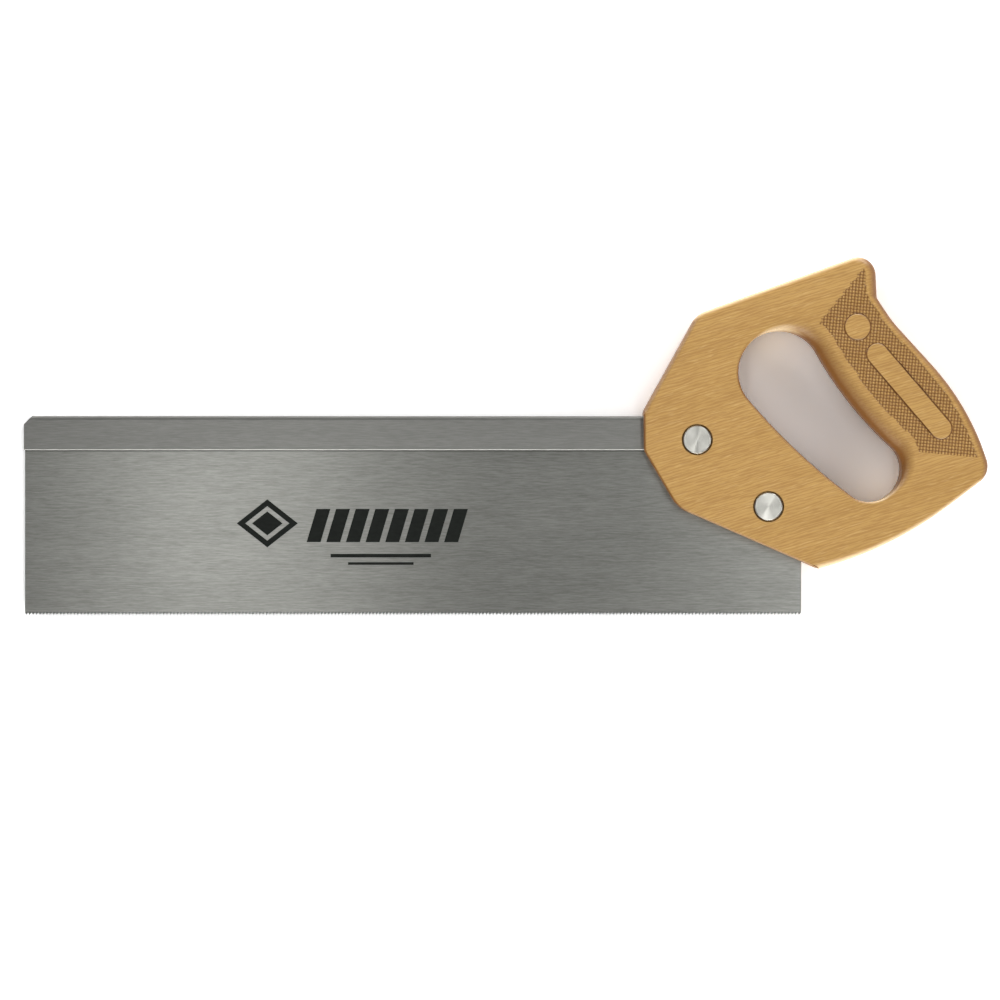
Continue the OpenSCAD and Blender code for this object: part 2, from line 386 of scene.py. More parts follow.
# How far a knob rises from the groove's floor: for each way's profile alone, and for their product.
KNOB_ALONE = 0.22
KNOB_BOTH = 0.56
CHECK_REACH = range(-45, 75)
BLANK_STEPS = 20
BLANK_GROOVE = 0.42
BLANK_MARGIN = 0.62
RIM_GAP = 0.15
RIM_FADE = 0.5


def right_of(points, line):
    """Which points lie to the right of the way along a line."""
    a, b = line
    d = b - a
    return (points[:, 0] - a[0]) * d[1] - (points[:, 1] - a[1]) * d[0] > 0


def distance_to(points, blank):
    """Distance from points to the edge of a blank shape, negative inside it."""
    a, b, radius = blank
    d = b - a
    share = np.clip(((points - a) @ d) / max(d @ d, 1e-9), 0, 1)
    return np.linalg.norm(points - a - share[:, None] * d, axis=1) - radius


def rim_distance(points, loops):
    """Distance from points to the nearest stretch of the loops."""
    nearest = np.full(len(points), np.inf)
    for loop in loops:
        for a, b in zip(np.array(loop), np.roll(loop, -1, 0)):
            nearest = np.minimum(nearest, distance_to(points, (a, b, 0)))
    return nearest


def blank_outline(blank, grow):
    """Points round a blank shape, grown outwards."""
    a, b, radius = blank
    is_long = np.any(a != b)
    ends = math.degrees(math.atan2(*(b - a)[::-1])) if is_long else 0.0
    turns = [180 * k / BLANK_STEPS for k in range(BLANK_STEPS + 1)]
    found = [b + (radius + grow) * polar(ends - 90 + turn) for turn in turns]
    far = [a + (radius + grow) * polar(ends + 90 + turn) for turn in turns]
    return found + far if is_long else found + far[1:-1]


def checkering(outer, inner):
    """Points of the checkered field, the depth of each, and edges to keep between them."""
    cells = np.array([(i, j) for i in CHECK_REACH for j in CHECK_REACH])

    def place(ij):
        return CHECK_START + (ij[:, :1] * CHECK_U + ij[:, 1:] * CHECK_V) * CHECK_PITCH

    middles = place(cells + 0.5)
    fits = inside(middles, [outer, inner]) & (middles[:, 0] > HOLE_TOP[0])
    fits &= right_of(middles, UPPER_CUT) & right_of(middles, LOWER_CUT)
    chosen = {tuple(c) for c in cells[fits]}
    depths = {}
    for i, j in chosen:
        for a in range(CHECK_PARTS + 1):
            for b in range(CHECK_PARTS + 1):
                on_edge = (
                    (a == 0 and (i - 1, j) not in chosen)
                    or (a == CHECK_PARTS and (i + 1, j) not in chosen)
                    or (b == 0 and (i, j - 1) not in chosen)
                    or (b == CHECK_PARTS and (i, j + 1) not in chosen)
                )
                s, t = KNOB_PROFILE[a % CHECK_PARTS], KNOB_PROFILE[b % CHECK_PARTS]
                depth = 0.0 if on_edge else 1 - KNOB_ALONE * (s + t) - KNOB_BOTH * s * t
                key = (i * CHECK_PARTS + a, j * CHECK_PARTS + b)
                depths[key] = min(depth, depths.get(key, 1.0))
    keys = np.array(list(depths))
    spots = place(keys / CHECK_PARTS)
    sunk = np.array(list(depths.values()))
    to_rim = rim_distance(spots, [outer, inner])
    clear = inside(spots, [outer, inner]) & (to_rim > RIM_GAP)
    sunk = sunk * np.clip((to_rim - RIM_GAP) / RIM_FADE, 0, 1)
    for blank in BLANKS:
        clear &= distance_to(spots, blank) > BLANK_MARGIN
    points, sunk = [tuple(p) for p in spots[clear]], list(sunk[clear])
    edges = []
    for blank in BLANKS:
        for grow, depth in ((0.0, 0.0), (BLANK_GROOVE, 1.0)):
            ring = blank_outline(blank, grow)
            first = len(points)
            points += [tuple(p) for p in ring]
            sunk += [depth] * len(ring)
            edges += [(first + k, first + (k + 1) % len(ring)) for k in range(len(ring))]
    return points, sunk, edges


# ---- The handle ----

BORE_RADIUS = 4.05
SHANK_HOLE_RADIUS = 2.8
SEAT_RADIUS = 7.1
SEAT_DEPTH = 2.7
NECK_HOLE = 6.6
NECK_DEPTH = 4.05
PLATE = 0.86
SPINE_HALF = 2.33
SPINE_FRONT = 72.4
MORTISE_REACH = 17.1
MORTISE_END = HEEL[0] - SPINE_FRONT + MORTISE_REACH
MORTISE_HEIGHT = 15.8
MORTISE_GAP = 0.1
KERF_START = 270
KERF_GAP = 0.4
BARREL_BORE_GAP = 0.55
BORE_START = 1
SHANK_HOLE_END = 3
# How far a cutter runs past the wood.
PAST = 5
BORE_STEPS = 48
# How upright a normal is on the faces that take the checkering, and how sharp an edge stays crisp.
FLAT = 0.9
WOOD_CREASE = 32
WEIGHT_OF_FACES = 80
BLADE_TOP = 89.0
TOE_CUT = 1.7
# Ends of the blade's sloping rear edge, hidden in the handle.
REAR_HIGH = (312.74, 89.0)
REAR_LOW = (407.57, 0.0)


def rear_slope(y, gap=0.0):
    """Point of the blade's sloping rear edge at height y, moved back by gap."""
    a, b = np.array(REAR_HIGH), np.array(REAR_LOW)
    d = unit(b - a)
    return crossing(a + left_of(d) * gap, d, np.array([0.0, y]), np.array([1.0, 0.0]))


def handle_cutters():
    """Kerf, mortise and bolt passages, one cutter at a time."""
    kerf_top = BLADE_TOP + KERF_GAP
    kerf = [(KERF_START, -PAST), rear_slope(-PAST, KERF_GAP),
            rear_slope(kerf_top, KERF_GAP), (KERF_START, kerf_top)]
    yield prism(kerf, MID - PLATE / 2, MID + PLATE / 2)
    mortise = box_corners(KERF_START, HEEL[1] - MORTISE_GAP, MORTISE_END, HEEL[1] + MORTISE_HEIGHT)
    yield prism(mortise, MID - SPINE_HALF, MID + SPINE_HALF)
    for spot in (UPPER_BOLT, LOWER_BOLT):
        half = NECK_HOLE / 2
        square = box_corners(spot[0] - half, spot[1] - half, spot[0] + half, spot[1] + half)
        seat = TOP - SEAT_DEPTH
        yield prism(circle(spot, SEAT_RADIUS), seat, TOP + PAST)
        yield prism(circle(spot, SEAT_RADIUS), -PAST, SEAT_DEPTH)
        yield prism(square, seat - NECK_DEPTH, seat + 1)
        barrel_bore = circle(spot, BORE_RADIUS, BORE_STEPS)
        yield prism(barrel_bore, BORE_START, MID - PLATE / 2 - BARREL_BORE_GAP)
        shank_hole = circle(spot, SHANK_HOLE_RADIUS, BORE_STEPS)
        yield prism(shank_hole, BORE_START, TOP - SHANK_HOLE_END)


def rim_loops(work, height):
    """Loops of open edges at one height, in drawing millimetres."""
    steps = {}
    for edge in work.edges:
        if edge.is_boundary and all(abs(v.co.z - height) < SAME for v in edge.verts):
            a, b = edge.verts
            steps.setdefault(a, []).append(b)
            steps.setdefault(b, []).append(a)
    loops, seen = [], set()
    for start in steps:
        if start in seen:
            continue
        loop, here = [], start
        while here is not None:
            seen.add(here)
            loop.append(((here.co.x - TOE.x) / MM, (here.co.y - TOE.y) / MM))
            here = next((v for v in steps[here] if v not in seen), None)
        loops.append(loop)
    return loops


def build_handle():
    """The beech handle: rounded edges, the cuts for the steel, and checkering on both faces."""
    outer_rings, inner_rings = rounded_rings(outline), rounded_rings(hole)
    points, faces = wall(outer_rings, 0)
    more, inner_faces = wall(inner_rings, len(points), inside_out=True)
    points, faces = points + more, faces + inner_faces
    for ring, z, flip in ((-1, TOP, False), (0, 0.0, True)):
        corners, triangles, _ = cap([outer_rings[ring], inner_rings[ring]])
        first = len(points)
        points += [(x, y, z) for x, y in corners]
        faces += [[first + k for k in (t[::-1] if flip else t)] for t in triangles]
    obj = mesh_object("handle_wood", points, faces)

    close_mesh(obj, SAME)
    for cutter in handle_cutters():
        cut(obj, cutter)

    outer, inner = [p[:2] for p in outer_rings[-1]], [p[:2] for p in inner_rings[-1]]
    grain_points, sunk, edges = checkering(outer, inner)
    work = bmesh.new()
    work.from_mesh(obj.data)
    groove_depth = work.verts.layers.float.new("groove_depth")
    for height, up in ((TOP * MM, 1), (0.0, -1)):
        flat = [
            f for f in work.faces
            if all(abs(v.co.z - height) < SAME for v in f.verts) and f.normal.z * up > FLAT
        ]
        bmesh.ops.delete(work, geom=flat, context="FACES")
        loops = rim_loops(work, height)
        corners, triangles, extra = cap(loops, grain_points, edges)
        made = []
        for (x, y), k in zip(corners, extra):
            depth = sunk[k] if k >= 0 else 0.0
            v = work.verts.new(at(x, y, height / MM - up * depth * CHECK_DEPTH))
            v[groove_depth] = depth
            made.append(v)
        for t in triangles:
            work.faces.new([made[k] for k in (t if up > 0 else t[::-1])])
    bmesh.ops.remove_doubles(work, verts=work.verts, dist=MERGE_CAP)
    bmesh.ops.recalc_face_normals(work, faces=work.faces)
    work.to_mesh(obj.data)
    work.free()
    soften(obj, WOOD_CREASE)
    level = obj.modifiers.new("even_normals", "WEIGHTED_NORMAL")
    level.keep_sharp = True
    level.mode = "FACE_AREA"
    level.weight = WEIGHT_OF_FACES
    apply_all(obj)
    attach(obj, "saw")
    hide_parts("handle")
    return obj


# ---- The blade, with set and bevelled teeth ----

TEETH = 226
TOOTH_RAKE = 15
TOOTH_BACK = 45
TOOTH_SET = 0.2
TOOTH_BEVEL = 0.62


def build_blade():
    """The toothed plate: a flat body, and teeth bent to alternate sides with a bevelled edge."""
    length = HEEL[0]
    pitch = length / TEETH
    rake = math.tan(math.radians(TOOTH_RAKE))
    depth = pitch / (rake + math.tan(math.radians(TOOTH_BACK)))
    low, high = MID - PLATE / 2, MID + PLATE / 2
    start = rear_slope(BLADE_TOP)
    end = crossing(np.array(REAR_HIGH), unit(np.array(REAR_LOW) - REAR_HIGH),
                   np.array([length, 0.0]), np.array([0.0, 1.0]))
    roots = [(i * pitch, depth) for i in range(TEETH + 1)]
    body = roots + [tuple(end), tuple(start), (TOE_CUT, BLADE_TOP), (0.0, BLADE_TOP - TOE_CUT)]
    holes = [circle(spot, SHANK_HOLE_RADIUS, BORE_STEPS) for spot in (UPPER_BOLT, LOWER_BOLT)]
    loops = [body, *holes]
    corners, triangles, _ = cap(loops)
    points, faces = [], []
    for z, flip in ((high, False), (low, True)):
        first = len(points)
        points += [(x, y, z) for x, y in corners]
        faces += [[first + k for k in (t[::-1] if flip else t)] for t in triangles]
    for loop in loops:
        rings = [[(*p, low) for p in loop], [(*p, high) for p in loop]]
        more, sides = wall(rings, len(points), inside_out=loop is not body)
        if loop is body:
            sides = sides[TEETH:]
        points, faces = points + more, faces + sides
    for i in range(TEETH):
        side = 1 if i % 2 else -1
        tip = i * pitch + depth * rake
        first = len(points)
        for z, leads in ((high, side > 0), (low, side < 0)):
            drop = 0.0 if leads else TOOTH_BEVEL
            points += [(i * pitch, depth, z), (tip, drop, z + side * TOOTH_SET),
                       ((i + 1) * pitch, depth, z)]
        a, b, c, d, e, f = range(first, first + 6)
        faces += [[a, b, c], [f, e, d], [a, d, e, b], [b, e, f, c]]
    obj = mesh_object("blade_plate", points, faces)

    close_mesh(obj, SAME)
    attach(obj, "saw")
    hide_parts("blade")
    return obj


# ---- The folded back ----

NOSE_CUT = 3.8
EDGE_ROUND = 0.5
NOSE_PAST = 1
BACK_CREASE = 25


def build_spine():
    """The folded steel back: a round fold on top and soft lower edges either side of the blade."""
    low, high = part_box("spine")
    ends = [(low.x - TOE.x) / MM, (high.x - TOE.x) / MM]
    foot, height = (low.y - TOE.y) / MM, (high.y - low.y) / MM
    half = (high.z - low.z) / MM / 2
    profile = [half * polar(a) + (height - half, 0) for a in range(-90, 91, 6)]
    profile += [(EDGE_ROUND, half - EDGE_ROUND) + EDGE_ROUND * polar(a) for a in range(90, 181, 15)]
    slot_top, slot = height - (half - PLATE / 2), PLATE / 2
    profile += [(0, slot), (slot_top, slot), (slot_top, -slot), (0, -slot)]
    profile += [(EDGE_ROUND, EDGE_ROUND - half) + EDGE_ROUND * polar(a) for a in range(180, 271, 15)]
    n = len(profile)
    points = [(x, foot + up, MID + out) for x in ends for up, out in profile]
    faces = [[i, (i + 1) % n, n + (i + 1) % n, n + i] for i in range(n)]
    flat = [Vector((up, out)) for up, out in profile]
    for first in (0, n):
        triangles = geometry.delaunay_2d_cdt(flat, [], [list(range(n))], 1, 1e-6)[2]
        faces += [[first + k for k in t] for t in triangles]
    obj = mesh_object("spine_folded", points, faces)
    close_mesh(obj)
    left, top = ends[0] - NOSE_PAST, foot + height + NOSE_PAST
    nose = [(left, foot + height - NOSE_CUT - NOSE_PAST), (ends[0] + NOSE_CUT + NOSE_PAST, top),
            (left, top)]
    cut(obj, prism(nose, MID - half - NOSE_PAST, MID + half + NOSE_PAST))
    soften(obj, BACK_CREASE)
    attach(obj, "saw")
    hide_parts("spine")
    return obj


# ---- Bolts and nuts ----

HEAD_RADIUS = 6.4
HEAD_RECESS = 0.3
HEAD_RIM = 0.4
HEAD_DISH = 0.06
RING_PITCH = 0.3
RING_DEPTH = 0.012
STEEL_CREASE = 40
NECK_LENGTH = 4
NECK_HALF = 3.25
NECK_ROUND = 0.35
THREAD_PITCH = 0.8
THREAD_CREST = 2.5
THREAD_ROOT = 2.06
THREAD_START = 0.2
SHANK_TIP = 1.9
SHANK_END = 2.8
# The nut's flange stops this short of its seat, so that the two never share a plane.
FLANGE_GAP = 0.02
BARREL_GAP = 0.6
BARREL_RADIUS = 4.0
BARREL_BEVEL_RADIUS = 3.7
BARREL_BEVEL = 0.3
NUT_BORE_RADIUS = 2.55
NUT_BORE_MOUTH = 2.85
NUT_BORE_BOTTOM = 2.3
SLOT_TURN = 45
SLOT_REACH = 9
SLOT_HALF = 0.7
SLOT_BOTTOM = 1.5
SLOT_START = -2


def turned(profile, centre, steps=96):
    """Points and faces of a solid turned from a closed profile of radius and height."""
    points, faces, rows = [], [], []
    for radius, z in profile:
        if radius == 0:
            rows.append([len(points)] * steps)
            points.append((centre[0], centre[1], z))
        else:
            rows.append(list(range(len(points), len(points) + steps)))
            points += [(x, y, z) for x, y in circle(centre, radius, steps)]
    for row, after in zip(rows, rows[1:]):
        for k in range(steps):
            n = (k + 1) % steps
            faces.append(list(dict.fromkeys([row[k], row[n], after[n], after[k]])))
    return points, faces


def face_profile(radius, z, up):
    """A turned end face from its middle to radius: fine rings, a shallow dish and a soft rim."""
    rim = HEAD_RIM
    profile = [(0, z - up * HEAD_DISH)]
    rings = int((radius - rim) / RING_PITCH)
    for k in range(1, 2 * rings + 1):
        r = k * RING_PITCH / 2
        dish = HEAD_DISH * (1 - (r / (radius - rim)) ** 2)
        profile.append((r, z - up * (dish + RING_DEPTH * (k % 2))))
    for degrees in (0, 25, 50, 75, 90):
        a = math.radians(degrees)
        profile.append((radius - rim + rim * math.sin(a), z - up * rim * (1 - math.cos(a))))
    return profile


def finished_turning(name, parts):
    """One mesh from turned parts that touch or overlap."""
    points, faces = [], []
    for more, sides in parts:
        first = len(points)
        points += more
        faces += [[first + k for k in f] for f in sides]
    obj = mesh_object(name, points, faces)
    close_mesh(obj)
    return obj


def build_bolt(name, spot, body):
    """A bolt: turned head, square neck, and a shank ringed like a thread but without its helix."""
    top, seat = TOP - HEAD_RECESS, TOP - SEAT_DEPTH
    neck, end = seat - NECK_LENGTH, SHANK_END
    head = face_profile(HEAD_RADIUS, top, 1) + [(HEAD_RADIUS, seat), (0, seat)]
    thread = [(0, neck)]
    turns = int((neck - end) / THREAD_PITCH) * 2
    for k in range(turns):
        radius = THREAD_CREST if k % 2 else THREAD_ROOT
        thread.append((radius, neck - THREAD_START - k * THREAD_PITCH / 2))
    thread += [(SHANK_TIP, end), (0, end)]
    half, r = NECK_HALF, NECK_ROUND
    square = []
    for cx, cy, a in ((1, 1, 0), (-1, 1, 90), (-1, -1, 180), (1, -1, 270)):
        for k in range(4):
            p = np.array([cx, cy]) * (half - r) + r * polar(a + 30 * k)
            square.append(tuple(spot + p))
    parts = [turned(head, spot), prism_parts(square, neck, seat), turned(thread, spot, BORE_STEPS)]
    obj = finished_turning(name + "_turned", parts)
    soften(obj, STEEL_CREASE)
    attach(obj, body)
    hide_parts(name)
    return obj


def build_nut(name, spot, body):
    """A barrel nut with a flange and a screwdriver slot, on the hidden side."""
    barrel_end = MID - PLATE / 2 - BARREL_GAP
    bevel = barrel_end - BARREL_BEVEL
    flange = SEAT_DEPTH - FLANGE_GAP
    profile = face_profile(HEAD_RADIUS, HEAD_RECESS, -1)
    profile += [(HEAD_RADIUS, flange), (BARREL_RADIUS, flange), (BARREL_RADIUS, bevel),
                (BARREL_BEVEL_RADIUS, barrel_end), (NUT_BORE_MOUTH, barrel_end),
                (NUT_BORE_RADIUS, bevel), (NUT_BORE_RADIUS, NUT_BORE_BOTTOM), (0, NUT_BORE_BOTTOM)]
    obj = finished_turning(name + "_turned", [turned(profile, spot)])
    along, across = polar(SLOT_TURN) * SLOT_REACH, left_of(polar(SLOT_TURN)) * SLOT_HALF
    near, far = spot - along, spot + along
    slot = [near - across, far - across, far + across, near + across]
    cut(obj, prism([tuple(p) for p in slot], SLOT_START, SLOT_BOTTOM))
    soften(obj, STEEL_CREASE)
    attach(obj, body)
    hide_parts(name)
    return obj


# ---- Print on the blade: plain shapes only ----

PRINT_LIFT = 0.03
DIAMOND_AT = np.array([111.0, 42.0])
DIAMOND_WIDE = 14.0
DIAMOND_TALL = 11.0
# Outer and inner share of the diamond's size, for its ring and its core.
DIAMOND_BANDS = ((1.0, 0.72), (0.5, 0.0))
STROKES = 8
STROKE_START = 129
STROKE_WIDTH = 6.4
STROKE_GAP = 2.6
STROKE_LEAN = 4.5
STROKE_LOW = 33.4
STROKE_HIGH = 48.6
UPPER_RULE = (140, 26.4, 186, 28)
LOWER_RULE = (148, 23, 178, 24.2)


def build_print():
    """A plain diamond, a row of slanted strokes and two rules, printed on the show side."""
    level = MID + PLATE / 2 + PRINT_LIFT
    shapes = []
    size = (DIAMOND_WIDE, DIAMOND_TALL)
    for outer, inner in DIAMOND_BANDS:
        for k in range(4):
            a, b = polar(90 * k) * size, polar(90 * (k + 1)) * size
            shapes.append([DIAMOND_AT + p for p in (a * outer, b * outer, b * inner, a * inner)])
    for k in range(STROKES):
        x = STROKE_START + k * (STROKE_WIDTH + STROKE_GAP)
        shapes.append([(x, STROKE_LOW), (x + STROKE_WIDTH, STROKE_LOW),
                       (x + STROKE_WIDTH + STROKE_LEAN, STROKE_HIGH), (x + STROKE_LEAN, STROKE_HIGH)])
    shapes.append(box_corners(*UPPER_RULE))
    shapes.append(box_corners(*LOWER_RULE))
    points, faces = [], []
    for shape in shapes:
        corners = list(dict.fromkeys((round(float(x), 4), round(float(y), 4)) for x, y in shape))
        faces.append(list(range(len(points), len(points) + len(corners))))
        points += [(x, y, level) for x, y in corners]
    obj = mesh_object("blade_print", points, faces)
    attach(obj, "saw")
    return obj


# ---- Node materials ----


class Nodes:
    """Short forms for building a material's node tree."""

    def __init__(self, name):
        self.material = bpy.data.materials.new(name)
        self.material.use_nodes = True
        self.tree = self.material.node_tree
        self.tree.nodes.clear()
        out = self.tree.nodes.new("ShaderNodeOutputMaterial")
        self.shader = self.tree.nodes.new("ShaderNodeBsdfPrincipled")
        self.tree.links.new(self.shader.outputs[0], out.inputs[0])

    def add(self, kind, inputs=(), **settings):
        node = self.tree.nodes.new(kind)
        for key, value in settings.items():
            setattr(node, key, value)
        for key, value in dict(inputs).items():
            self.feed(node.inputs[key], value)
        return node

    def feed(self, socket, value):
        if isinstance(value, bpy.types.NodeSocket):
            self.tree.links.new(value, socket)
        else:
            socket.default_value = value

    def math(self, operation, *values, clamp=False):
        node = self.add("ShaderNodeMath", operation=operation, use_clamp=clamp)
        for k, value in enumerate(values):
            self.feed(node.inputs[k], value)
        return node.outputs[0]

    def place(self, turn=0.0, scale=(1, 1, 1)):
        """The position on the saw, turned about Z by degrees, then scaled."""
        where = self.add("ShaderNodeTexCoord").outputs["Object"]
        rotation = (0, 0, math.radians(turn))
        turned_by = self.add("ShaderNodeMapping", {"Vector": where, "Rotation": rotation})
        scaled = self.add("ShaderNodeMapping", {"Vector": turned_by.outputs[0], "Scale": scale})
        return scaled.outputs[0]

    def noise(self, vector, scale, detail=3.0, rough=0.55):
        return self.add("ShaderNodeTexNoise", {"Vector": vector, "Scale": scale, "Detail": detail,
                                               "Roughness": rough}).outputs[0]

    def ramp(self, value, low, high, out_low=0.0, out_high=1.0):
        return self.add("ShaderNodeMapRange", {"Value": value, "From Min": low, "From Max": high,
                                               "To Min": out_low, "To Max": out_high}).outputs[0]

    def mix(self, factor, a, b):
        node = self.add("ShaderNodeMix", data_type="RGBA", blend_type="MIX")
        for key, value in ((0, factor), (6, a), (7, b)):
            self.feed(node.inputs[key], value)
        return node.outputs[2]

    def bump(self, height, distance, strength):
        links = {"Height": height, "Distance": distance, "Strength": strength}
        return self.add("ShaderNodeBump", links).outputs[0]

    def finish(self, **sockets):
        for key, value in sockets.items():
            self.feed(self.shader.inputs[key.replace("_", " ")], value)
        return self.material


def tone(r, g, b):
    """A colour given as display values from 0 to 255."""
    def linear(c):
        c /= 255
        return c / 12.92 if c <= 0.04045 else ((c + 0.055) / 1.055) ** 2.4
    return (linear(r), linear(g), linear(b), 1.0)


GRAIN_TURN = -17


def beech():
    """Pale beech with fine darker flecks along a slightly rising grain."""
    m = Nodes("beech_lacquered")
    long = m.place(GRAIN_TURN, (1, 14, 14))
    broad = m.ramp(m.noise(long, 4.0, 2), 0.35, 0.65)
    fibre = m.ramp(m.noise(m.place(GRAIN_TURN, (1, 11, 11)), 72.0, 4, 0.65), 0.36, 0.64)
    rays = m.ramp(m.noise(m.place(GRAIN_TURN - 2, (1, 10, 10)), 170.0, 2, 0.5), 0.56, 0.7)
    rings = m.add("ShaderNodeTexWave", {"Vector": m.place(GRAIN_TURN, (1, 9, 9)), "Scale": 27.0,
                                        "Distortion": 7.0, "Detail": 2.0, "Detail Scale": 3.0,
                                        "Detail Roughness": 0.6}, bands_direction="Y").outputs["Fac"]
    lines = m.ramp(rings, 0.35, 0.95)
    specks = m.ramp(m.noise(m.place(), 1500.0, 2, 0.6), 0.5, 0.68)
    colour = m.mix(broad, tone(186, 145, 78), tone(194, 153, 86))
    colour = m.mix(m.math("MULTIPLY", fibre, 0.4), colour, tone(168, 126, 67))
    colour = m.mix(m.math("MULTIPLY", rays, 0.35), colour, tone(214, 178, 118))
    colour = m.mix(m.math("MULTIPLY", lines, 0.42), colour, tone(150, 104, 50))
    # Rounded edges: darker where the fibres end in the surface, partly as end grain and partly as
    # painted shade on the hand hole's flare; paler as a painted highlight where they face sideways.
    normal = m.add("ShaderNodeTexCoord").outputs["Normal"]
    fibre_way = (*polar(-GRAIN_TURN), 0.0)
    dot = m.add("ShaderNodeVectorMath", {0: normal, 1: fibre_way}, operation="DOT_PRODUCT")
    end_grain_and_shade = m.ramp(m.math("ABSOLUTE", dot.outputs["Value"]), 0.12, 0.7)
    # Partly end grain, partly painted shade on the hand hole's flare.
    colour = m.mix(end_grain_and_shade, colour, tone(120, 76, 24))
    upright = m.add("ShaderNodeSeparateXYZ", {0: normal}).outputs["Z"]
    sideways = m.ramp(m.math("ABSOLUTE", upright), 0.92, 0.5)
    side_highlight_and_speck_mask = m.math("SUBTRACT", sideways, end_grain_and_shade, clamp=True)
    # Painted highlight: the roundovers that face sideways made paler.
    colour = m.mix(m.math("MULTIPLY", side_highlight_and_speck_mask, 0.9), colour, tone(236, 212, 172))
    side_specks = m.math("MULTIPLY", side_highlight_and_speck_mask, specks)
    colour = m.mix(m.math("MULTIPLY", side_specks, 0.5), colour, tone(150, 108, 60))
    groove_depth = m.add("ShaderNodeAttribute", attribute_name="groove_depth").outputs["Fac"]
    # Darker down in the checkering's grooves, by their depth.
    colour = m.mix(m.ramp(groove_depth, 0.2, 0.9), colour, tone(112, 68, 14))
    height = m.math("ADD", m.math("MULTIPLY", fibre, 0.5), m.math("MULTIPLY", lines, -1.0))
    gloss = m.ramp(fibre, 0.0, 1.0, 0.42, 0.52)
    return m.finish(Base_Color=colour, Roughness=gloss, Normal=m.bump(height, 0.00005, 0.6))


def brushed(name, light, dark, rough, line=None):
    """Steel brushed along the saw, with faint streaks.

    Given a line, as for the blade, it paints a shadow band just below y = line, where the back's
    lower edge shades the blade, and darkens towards the tooth points.
    """
    m = Nodes(name)
    fine = m.noise(m.place(0, (1, 16, 16)), 150.0, 4, 0.7)
    long = m.noise(m.place(0, (1, 22, 22)), 7.0, 3, 0.6)
    blotch = m.noise(m.place(0, (1, 2, 2)), 9.0, 3, 0.6)
    streak_tone = m.math("ADD", m.math("MULTIPLY", fine, 0.85), m.math("MULTIPLY", long, 0.15))
    colour = m.mix(m.ramp(streak_tone, 0.35, 0.65), dark, light)
    if line is not None:
        height = m.add("ShaderNodeSeparateXYZ", {0: m.place()}).outputs["Y"]
        # Painted shadow: a dark band on the blade just under the back's lower edge.
        shadow = m.ramp(height, line - 0.8 * MM, line - 0.3 * MM, 0.0, 0.75)
        colour = m.mix(shadow, colour, tone(58, 60, 56))
        points = m.ramp(height, TOE.y + 1.6 * MM, TOE.y + 0.7 * MM, 0.0, 0.8)
        colour = m.mix(points, colour, tone(52, 53, 51))
    gloss = m.ramp(blotch, 0.3, 0.7, rough - 0.02, rough + 0.02)
    bump = m.bump(fine, 0.00002, 0.5)
    across = m.add("ShaderNodeCombineXYZ", {0: 0.0, 1: 1.0, 2: 0.0}).outputs[0]
    return m.finish(Base_Color=colour, Metallic=1.0, Roughness=gloss, Anisotropic=0.5, Normal=bump,
                    Tangent=across)


def turned_steel():
    """Bright steel whose highlights run out from the middle, as on a turned face."""
    m = Nodes("turned_bright_steel")
    tint = m.noise(m.place(), 260.0, 2, 0.5)
    colour = m.mix(m.ramp(tint, 0.3, 0.7), tone(208, 207, 198), tone(224, 223, 215))
    around = m.add("ShaderNodeTangent", direction_type="RADIAL", axis="Z").outputs[0]
    return m.finish(Base_Color=colour, Metallic=1.0, Roughness=m.ramp(tint, 0.3, 0.7, 0.28, 0.3),
                    Anisotropic=0.92, Anisotropic_Rotation=0.25, Tangent=around)


def ink():
    """Dark matt print."""
    m = Nodes("dark_screen_ink")
    worn = m.noise(m.place(0, (1, 3, 3)), 260.0, 3, 0.6)
    colour = m.mix(m.ramp(worn, 0.35, 0.75), tone(16, 19, 16), tone(26, 29, 26))
    return m.finish(Base_Color=colour, Roughness=m.ramp(worn, 0.3, 0.7, 0.6, 0.7),
                    Specular_IOR_Level=0.15)


def pale_floor():
    """A white table top. Its albedo is above 1, to match the picture's overexposed ground."""
    m = Nodes("white_table")
    m.tree.nodes.remove(m.shader)
    speckle = m.ramp(m.noise(m.place(), 300.0, 2, 0.5), 0.3, 0.7)
    colour = m.mix(speckle, (1.43, 1.43, 1.43, 1), (1.45, 1.45, 1.45, 1))
    matt = m.add("ShaderNodeBsdfDiffuse", {"Color": colour})
    out = next(n for n in m.tree.nodes if n.type == "OUTPUT_MATERIAL")
    m.tree.links.new(matt.outputs[0], out.inputs[0])
    return m.material


def paint(obj, material):
    """Gives a whole object one material."""
    obj.data.materials.clear()
    obj.data.materials.append(material)


# ---- Assembly ----

wood, bolt_metal = beech(), turned_steel()
paint(build_handle(), wood)
paint(build_blade(), brushed("blade_brushed_steel", tone(160, 160, 155), tone(130, 131, 126), 0.305,
                             spine_low.y))
paint(build_spine(), brushed("back_drawn_steel", tone(148, 148, 144), tone(130, 130, 126), 0.4))
paint(build_print(), ink())
for node, spot in (("upper", UPPER_BOLT), ("lower", LOWER_BOLT)):
    paint(build_bolt(node + "_bolt", spot, node + "_bolt"), bolt_metal)
    paint(build_nut(node + "_nut", spot, node + "_nut"), bolt_metal)

# ---- Floor, light and camera ----

# Where the tipped table meets the handle's lower face, along the saw.
REST_X = 284.4
FLOOR_HALF = 3000
FLOOR_GAP = 0.05
VIEW_WIDTH = 0.4582
VIEW_DISTANCE = 2.0
SENSOR = 36.0
AIM = (217.6, 52.7)


def build_floor():
    """A white table, tipped so that the saw rests on its handle and the toe of its back."""
    slope = spine_low.z / MM / REST_X
    points = []
    for x, y in box_corners(-FLOOR_HALF, -FLOOR_HALF, FLOOR_HALF, FLOOR_HALF):
        points.append((x, y, (REST_X - x) * slope - FLOOR_GAP))
    floor = mesh_object("floor", points, [[0, 1, 2, 3]])
    paint(floor, pale_floor())


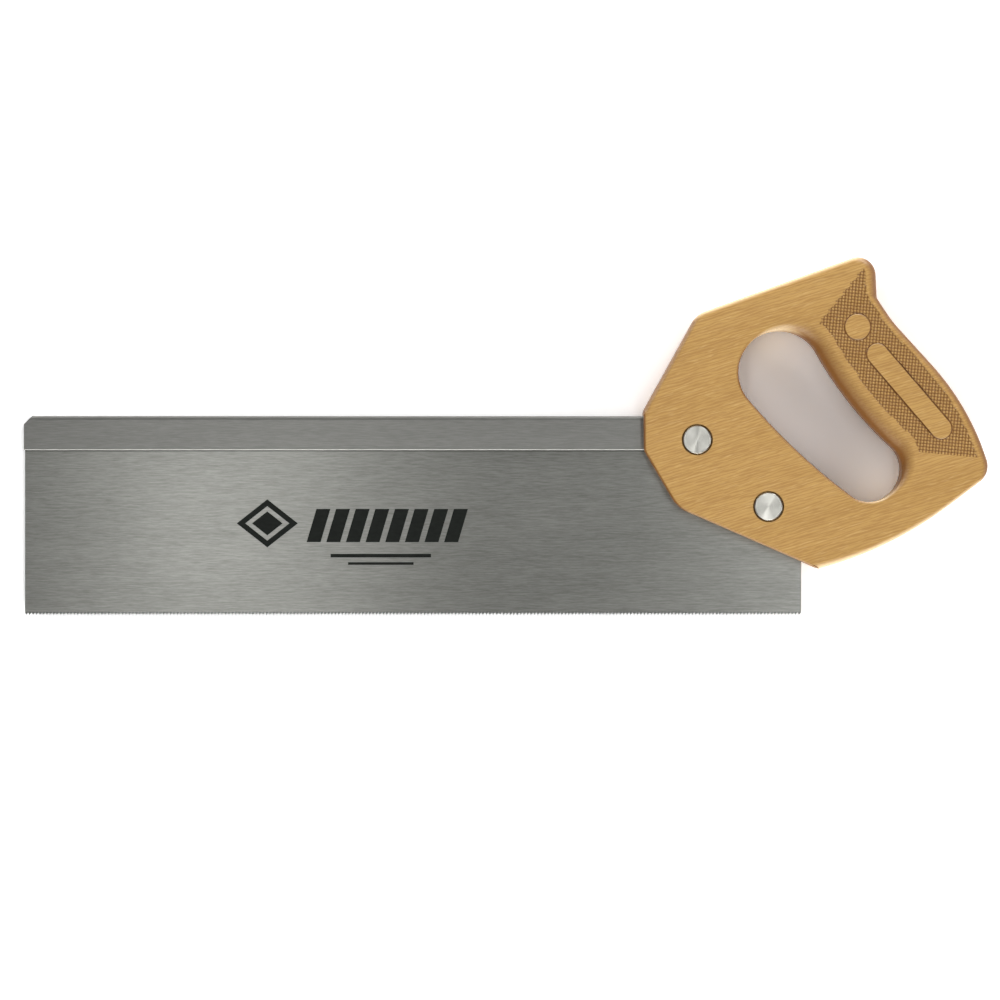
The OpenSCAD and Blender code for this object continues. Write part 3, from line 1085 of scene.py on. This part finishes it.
def area_light(name, place, target, width, height, power):
    """A white rectangular light facing target, its width at right angles to Y. Metres and watts."""
    data = bpy.data.lights.new(name, "AREA")
    data.shape = "RECTANGLE"
    data.size, data.size_y = width, height
    data.energy = power
    lamp = bpy.data.objects.new(name, data)
    bpy.context.scene.collection.objects.link(lamp)
    lamp.location = place
    back = (Vector(place) - Vector(target)).normalized()
    side = Vector((0, 1, 0)).cross(back).normalized()
    lamp.rotation_mode = "QUATERNION"
    lamp.rotation_quaternion = Matrix((side, back.cross(side), back)).transposed().to_quaternion()


def build_world():
    """A soft white studio, dimmer overhead than near the horizon."""
    world = bpy.data.worlds.new("studio")
    bpy.context.scene.world = world
    world.use_nodes = True
    tree = world.node_tree
    background = tree.nodes["Background"]
    background.inputs["Color"].default_value = (1, 1, 1, 1)
    direction = tree.nodes.new("ShaderNodeTexCoord").outputs["Generated"]
    parts = tree.nodes.new("ShaderNodeSeparateXYZ")
    fade = tree.nodes.new("ShaderNodeMapRange")
    fade.inputs["To Min"].default_value = 0.66
    fade.inputs["To Max"].default_value = 0.03
    tree.links.new(direction, parts.inputs[0])
    tree.links.new(parts.outputs["Z"], fade.inputs["Value"])
    tree.links.new(fade.outputs[0], background.inputs["Strength"])


def build_camera():
    """Straight above the saw, aimed between the middle of the blade's depth and its back."""
    data = bpy.data.cameras.new("camera")
    data.sensor_width = SENSOR
    data.lens = SENSOR * VIEW_DISTANCE / VIEW_WIDTH
    camera = bpy.data.objects.new("camera", data)
    bpy.context.scene.collection.objects.link(camera)
    camera.location = at(*AIM, MID) + Vector((0, 0, VIEW_DISTANCE))
    bpy.context.scene.camera = camera


build_floor()
build_world()
area_light("far_left", (-0.95, 0.85, 0.36), (0.1, 0, 0), 0.3, 0.5, 9)
area_light("far_right", (0.62, 1.1, 0.36), (0.1, 0, 0), 0.3, 0.5, 14)
area_light("right_side", (1.3, -0.15, 0.4), (0.15, 0, 0), 0.7, 0.5, 4)
area_light("near_side", (0.0, -1.25, 0.45), (0.05, 0, 0), 1.1, 0.4, 18)
area_light("overhead_left", (-0.21, 0.0, 1.3), (-0.13, 0, 0), 0.1, 1.3, 1.65)
area_light("overhead_right", (0.29, 0.0, 1.3), (0.16, 0, 0), 0.1, 1.3, 1.9)
build_camera()
bpy.context.scene.view_settings.view_transform = "Standard"
